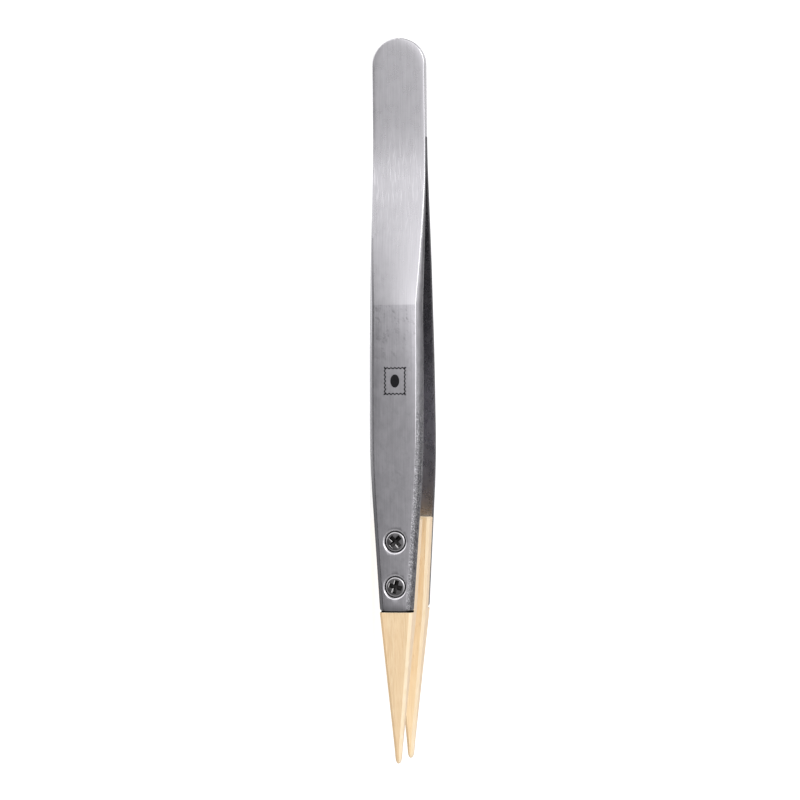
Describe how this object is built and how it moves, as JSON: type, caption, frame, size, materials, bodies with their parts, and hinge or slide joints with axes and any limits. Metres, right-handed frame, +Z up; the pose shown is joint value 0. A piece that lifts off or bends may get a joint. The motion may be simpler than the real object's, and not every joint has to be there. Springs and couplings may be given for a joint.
{
  "type": "stamp tongs",
  "caption": "Spring tongs for lifting stamps: bowed stainless arms joined at a round heel, ending in tapered bamboo tips with shoulders, held by recessed screws.",
  "frame": {"origin": "on the resting plane, below the middle of the object's length and half way between the arms", "axes": "+X from the round heel to the tips, Y across the opening with the front arm on the -Y side, +Z up across the width of the arms"},
  "size_m": [0.15, 0.017, 0.0112],
  "materials": {
    "arm_steel": "ground bright at the heel, matte brushed along the grip",
    "weld_metal": "as welded, hidden between the heels",
    "bamboo": "sanded bare bamboo with fine lengthwise fibres",
    "screw_steel": "darkened steel with a bright rim",
    "insert_brass": "machined"
  },
  "bodies": {
    "heel": {"front_heel": "arm_steel", "rear_heel": "arm_steel", "heel_spot_welds": "weld_metal"},
    "front_arm": {"front_blade": "arm_steel", "front_tip": "bamboo", "front_screw_heelward": "screw_steel", "front_screw_tipward": "screw_steel", "front_insert_heelward": "insert_brass", "front_insert_tipward": "insert_brass"},
    "rear_arm": {"rear_blade": "arm_steel", "rear_tip": "bamboo", "rear_screw_heelward": "screw_steel", "rear_screw_tipward": "screw_steel", "rear_insert_heelward": "insert_brass", "rear_insert_tipward": "insert_brass"}
  },
  "joints": [
    {"name": "front_arm_flex", "type": "hinge", "parent": "heel", "child": "front_arm", "pos_m": [-0.045, -0.00117, 0.0056], "axis": [0, 0, 1], "range_deg": [0, 2.18], "stiffness_Nm_per_rad": 2},
    {"name": "rear_arm_flex", "type": "hinge", "parent": "heel", "child": "rear_arm", "pos_m": [-0.045, 0.00117, 0.0056], "axis": [0, 0, -1], "range_deg": [0, 2.18], "stiffness_Nm_per_rad": 2}
  ]
}
